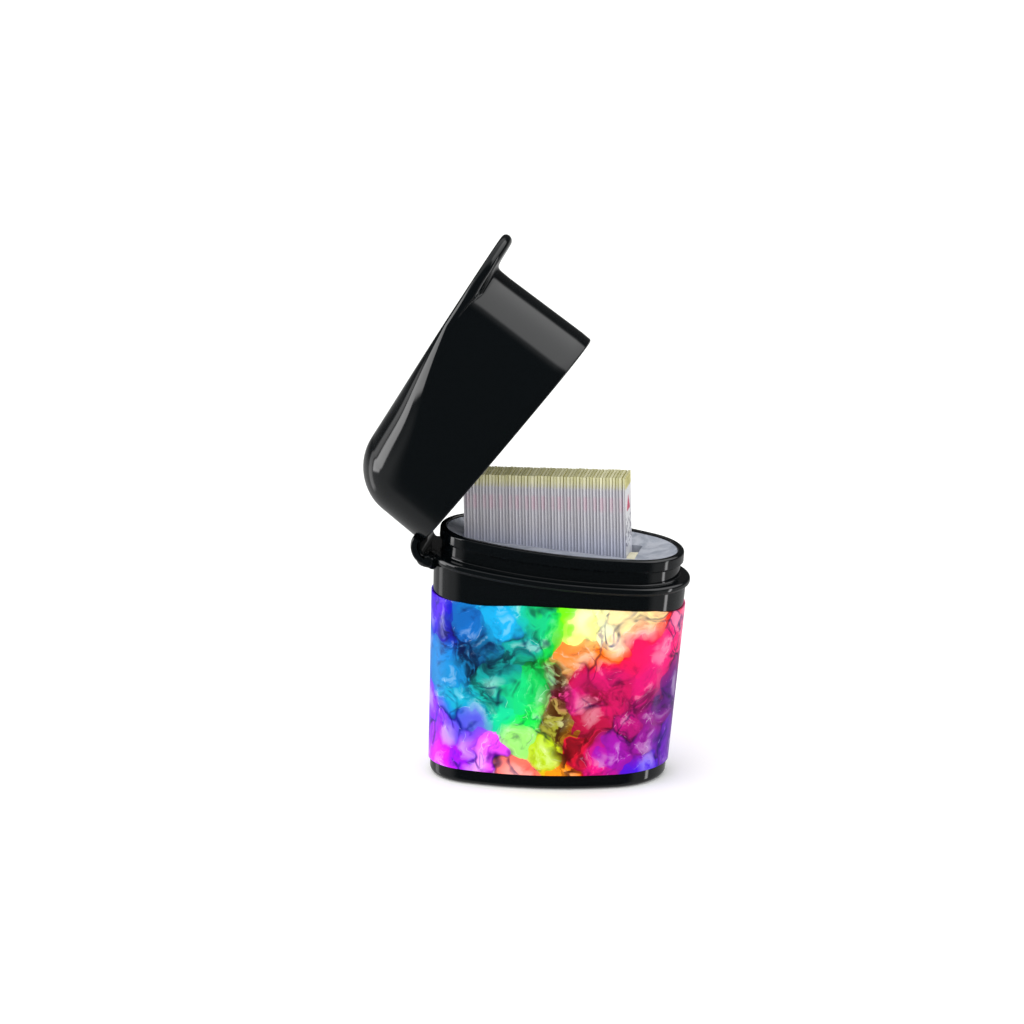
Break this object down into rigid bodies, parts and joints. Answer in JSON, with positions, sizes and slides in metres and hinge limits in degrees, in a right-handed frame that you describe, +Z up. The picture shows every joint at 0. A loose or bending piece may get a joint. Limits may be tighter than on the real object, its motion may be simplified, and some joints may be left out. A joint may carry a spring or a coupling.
{
  "type": "test strip vial",
  "caption": "Flip-top oval vial with a hinged deep lid, a slotted insert, a printed wrap and a row of test strips kept dry inside.",
  "frame": {"origin": "centre of the flat base", "axes": "+Z up, +X towards the thumb lip of the closed lid (the hinge is at -X), +Y towards the back where the wrap's seam is"},
  "size_m": [0.0623, 0.03, 0.1076],
  "materials": {
    "vial_black": "moulded gloss",
    "hinge_black": "thin flexed web",
    "wrap_print": "printed vinyl, glossy",
    "holder_grey": "satin",
    "liner_cream": "filled plastic, matt",
    "lid_black": "moulded gloss",
    "seal_grey": "soft, matt",
    "strip_base": "film",
    "strip_electrode": "film",
    "strip_spacer": "film",
    "strip_cover": "film",
    "strip_dose_ink": "film",
    "strip_arrow_ink": "film"
  },
  "bodies": {
    "vial": {"vial_body": "vial_black", "hinge_film": "hinge_black", "printed_wrap": "wrap_print", "strip_holder": "holder_grey", "desiccant_liners": "liner_cream"},
    "lid": {"lid_shell": "lid_black", "lid_seal": "seal_grey"},
    "strip_stack": {"stack_base_film": "strip_base", "stack_electrodes": "strip_electrode", "stack_spacer": "strip_spacer", "stack_cover_film": "strip_cover", "stack_dose_band": "strip_dose_ink", "stack_arrow": "strip_arrow_ink"},
    "end_strip": {"end_strip_base_film": "strip_base", "end_strip_electrodes": "strip_electrode", "end_strip_spacer": "strip_spacer", "end_strip_cover_film": "strip_cover", "end_strip_dose_band": "strip_dose_ink", "end_strip_arrow": "strip_arrow_ink"}
  },
  "joints": [
    {"name": "lid_hinge", "type": "hinge", "parent": "vial", "child": "lid", "pos_m": [-0.02406, 0, 0.04524], "axis": [0, -1, 0], "range_deg": [-56, 94]},
    {"name": "strip_stack_lift", "type": "slide", "parent": "vial", "child": "strip_stack", "axis": [0, 0, 1], "range_m": [0, 0.0015]},
    {"name": "end_strip_lift", "type": "slide", "parent": "vial", "child": "end_strip", "axis": [0, 0, 1], "range_m": [0, 0.0015]}
  ]
}
